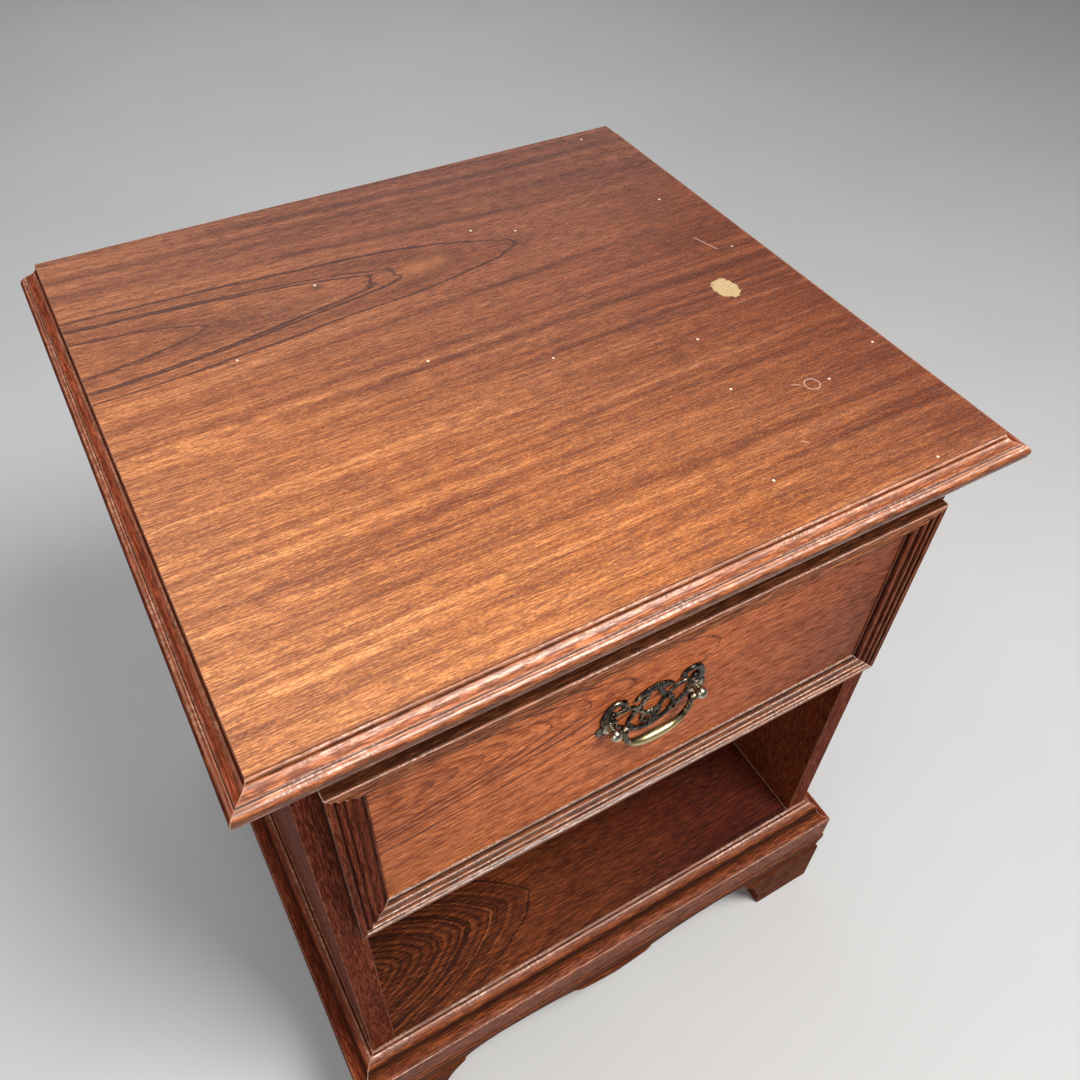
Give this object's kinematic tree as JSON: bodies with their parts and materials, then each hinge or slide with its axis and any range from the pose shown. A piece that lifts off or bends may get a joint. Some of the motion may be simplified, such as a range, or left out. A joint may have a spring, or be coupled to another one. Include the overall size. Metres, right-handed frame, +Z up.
{
  "type": "nightstand",
  "caption": "Bedside table with a moulded overhanging top, a framed drawer with a swinging bail pull, an open compartment below, and a moulded base cut into bracket feet.",
  "frame": {"origin": "on the floor, under the middle of the top", "axes": "+Z up, -Y out of the drawer's front, +X to the right seen from the front"},
  "size_m": [0.492, 0.458, 0.61],
  "materials": {
    "mahogany_veneer": "gloss lacquer over figured veneer",
    "mahogany": "satin lacquer, worn at the edges",
    "plain_wood": "bare, unfinished",
    "plywood": "bare, sanded",
    "dark_bronze": "dark patina, polished on the high spots",
    "worn_brass": "antique, rubbed bright along the grip",
    "steel": "zinc plated"
  },
  "bodies": {
    "case": {"top_panel": "mahogany_veneer", "top_moulding_front": "mahogany", "top_moulding_left": "mahogany", "top_moulding_right": "mahogany", "side_panel_left": "mahogany", "side_panel_right": "mahogany", "back_panel": "plywood", "back_pins": "steel", "top_rail_front": "mahogany", "top_rail_rear": "plain_wood", "top_screws": "steel", "kicker_left": "plain_wood", "kicker_right": "plain_wood", "drawer_rail_front": "mahogany", "drawer_rail_rear": "plain_wood", "runner_left": "plain_wood", "runner_right": "plain_wood", "shelf_board": "mahogany_veneer", "shelf_cleat_left": "plain_wood", "shelf_cleat_right": "plain_wood", "bottom_rail_front": "plain_wood", "bottom_rail_rear": "plain_wood", "base_moulding_front": "mahogany", "base_moulding_left": "mahogany", "base_moulding_right": "mahogany", "plinth_front": "mahogany", "plinth_left": "mahogany", "plinth_right": "mahogany", "plinth_rear": "mahogany", "corner_blocks": "plain_wood", "base_cleat_left": "plain_wood", "base_cleat_right": "plain_wood"},
    "drawer": {"drawer_front_board": "mahogany_veneer", "drawer_frame_top": "mahogany", "drawer_frame_bottom": "mahogany", "drawer_frame_left": "mahogany", "drawer_frame_right": "mahogany", "drawer_side_left": "plain_wood", "drawer_side_right": "plain_wood", "drawer_back": "plain_wood", "drawer_bottom": "plywood", "drawer_bottom_screws": "steel", "handle_backplate": "dark_bronze", "handle_post_left": "dark_bronze", "handle_post_right": "dark_bronze", "handle_washers": "steel", "handle_nuts": "steel"},
    "bail": {"handle_bail": "worn_brass"}
  },
  "joints": [
    {"name": "drawer_slide", "type": "slide", "parent": "case", "child": "drawer", "axis": [0, -1, 0], "range_m": [0, 0.29]},
    {"name": "bail_swing", "type": "hinge", "parent": "drawer", "child": "bail", "pos_m": [-0.0035, -0.219, 0.487], "axis": [-1, 0, 0], "range_deg": [-5, 110]}
  ]
}
